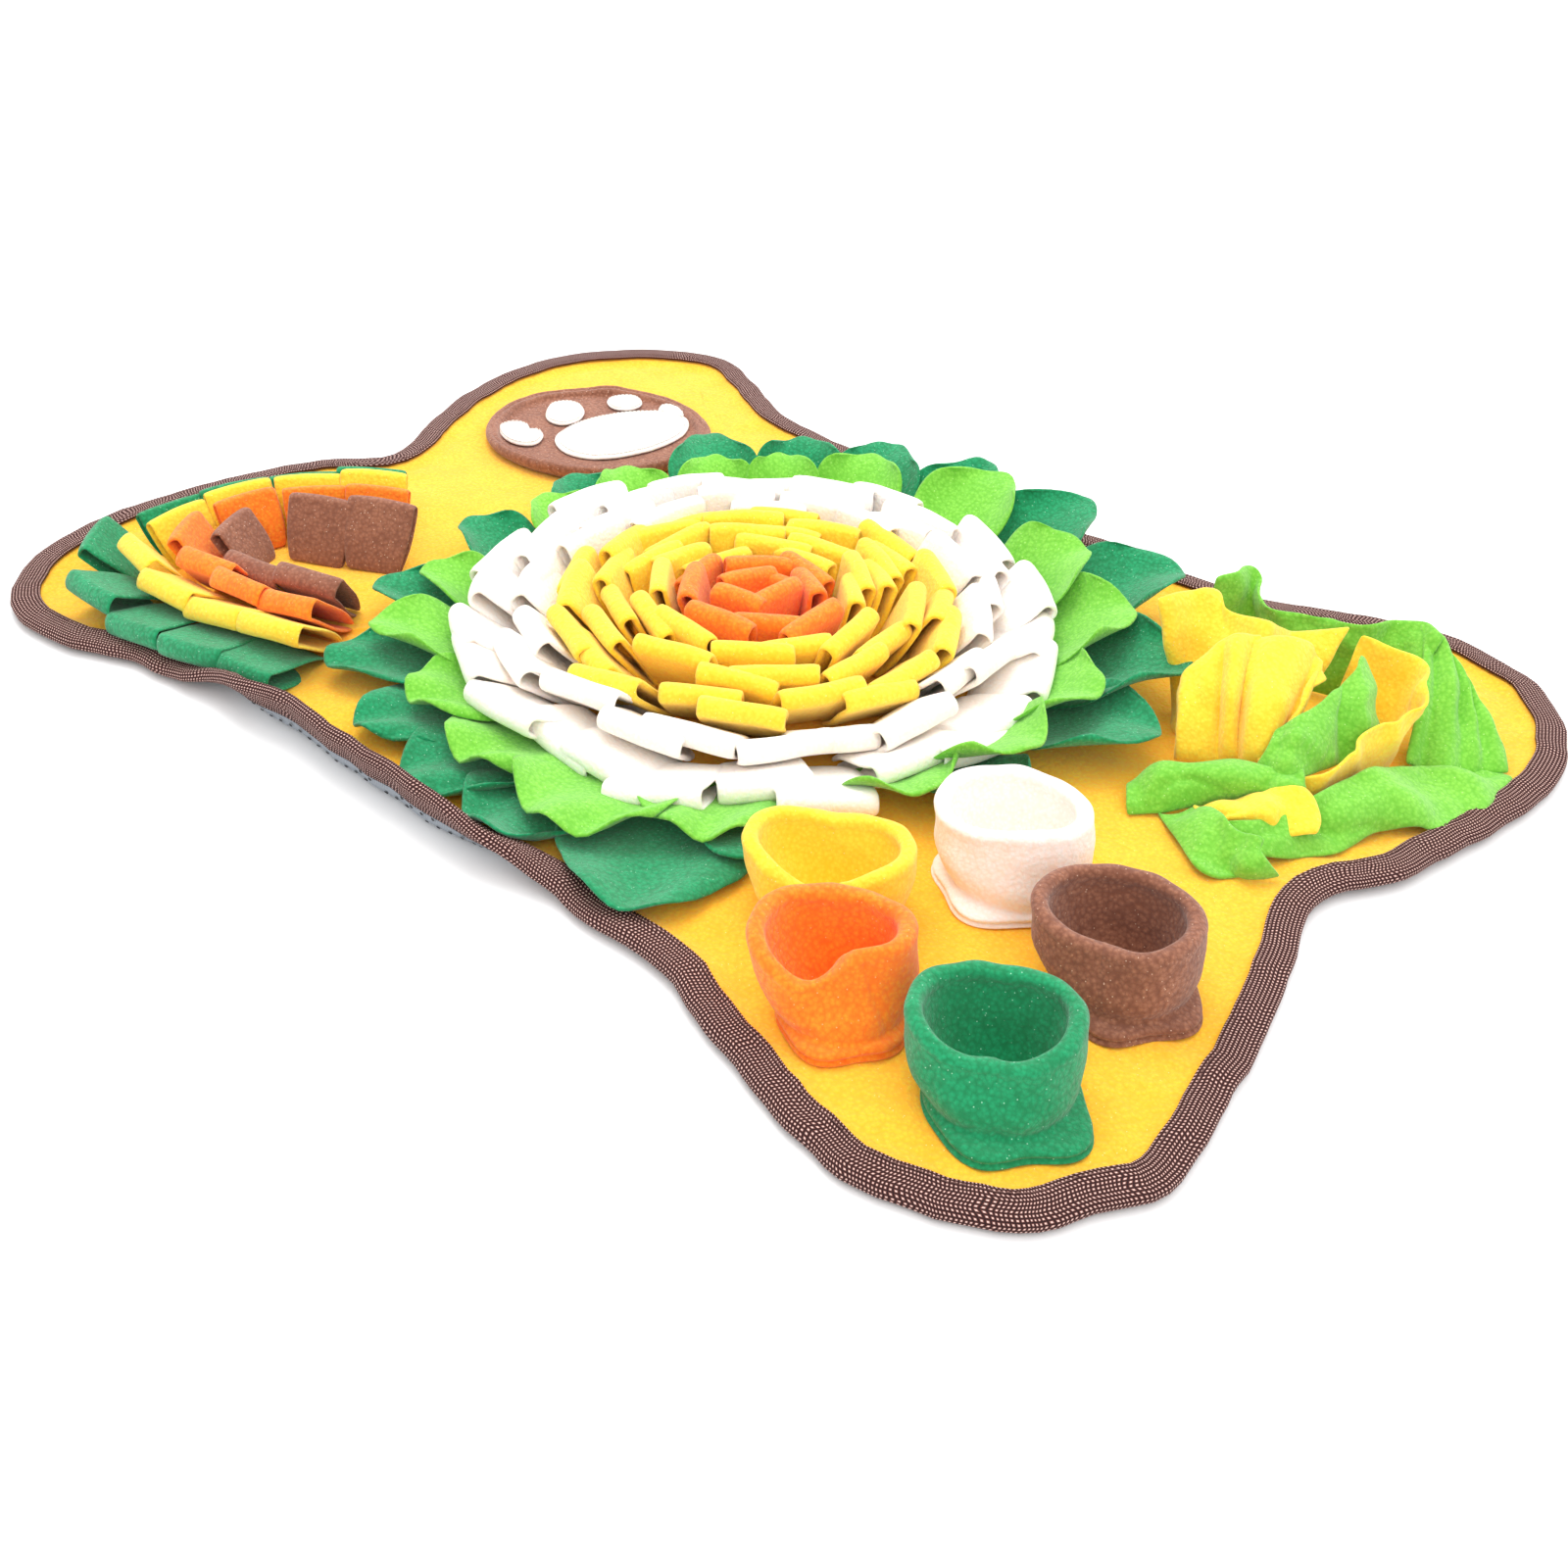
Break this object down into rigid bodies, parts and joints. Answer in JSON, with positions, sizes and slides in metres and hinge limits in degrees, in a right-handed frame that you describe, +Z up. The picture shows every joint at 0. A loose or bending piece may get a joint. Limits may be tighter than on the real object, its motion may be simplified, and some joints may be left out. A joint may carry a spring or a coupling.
{
  "type": "snuffle mat",
  "caption": "Four-lobed fleece snuffle mat with a looped flower, leaves, standing cups, a tabbed fan, a paw dish and crumpled sheets.",
  "frame": {"origin": "middle of the mat's footprint, on the floor", "axes": "+Z up, +X along the mat's length towards the cups and the lettuce, +Y towards the paw dish and the lettuce"},
  "size_m": [0.7, 0.5, 0.0607],
  "materials": {
    "fleece_yellow": "matt polyester fleece with a short, slightly pilled nap",
    "backing_grey": "woven polyester with rubbery non-slip dots",
    "binding_brown": "herringbone-woven cotton tape, matt",
    "cloth_yellow": "matt polyester fleece with a short, slightly pilled nap",
    "cloth_orange": "matt polyester fleece with a short, slightly pilled nap",
    "cloth_white": "matt polyester fleece with a short, slightly pilled nap",
    "cloth_dark_green": "matt polyester fleece with a short, slightly pilled nap",
    "cloth_light_green": "matt polyester fleece with a short, slightly pilled nap",
    "cloth_brown": "matt polyester fleece with a short, slightly pilled nap",
    "cloth_cup_brown": "matt polyester fleece with a short, slightly pilled nap"
  },
  "bodies": {
    "root": {"mat_backing": "backing_grey", "mat_fleece": "fleece_yellow", "binding": "binding_brown", "flower_orange_1": "cloth_orange", "flower_orange_2": "cloth_orange", "flower_yellow_3": "cloth_yellow", "flower_yellow_4": "cloth_yellow", "flower_yellow_5": "cloth_yellow", "flower_white_6": "cloth_white", "flower_white_7": "cloth_white", "leaves_light_green": "cloth_light_green", "leaves_dark_green": "cloth_dark_green", "fan_brown": "cloth_brown", "fan_orange": "cloth_orange", "fan_yellow": "cloth_yellow", "fan_dark_green": "cloth_dark_green", "cup_green": "cloth_dark_green", "cup_orange": "cloth_orange", "cup_yellow": "cloth_yellow", "cup_white": "cloth_white", "cup_brown": "cloth_cup_brown", "paw_dish": "cloth_brown", "paw_pad": "cloth_white", "paw_toe_1": "cloth_white", "paw_toe_2": "cloth_white", "paw_toe_3": "cloth_white", "paw_toe_4": "cloth_white", "lettuce_green_back": "cloth_light_green", "lettuce_green_side": "cloth_light_green", "lettuce_yellow_back": "cloth_yellow", "lettuce_yellow_fold": "cloth_yellow", "lettuce_green_inner": "cloth_light_green", "lettuce_yellow_ribbon": "cloth_yellow", "lettuce_green_tongue": "cloth_light_green", "lettuce_green_front": "cloth_light_green", "lettuce_yellow_front": "cloth_yellow"}
  },
  "joints": []
}
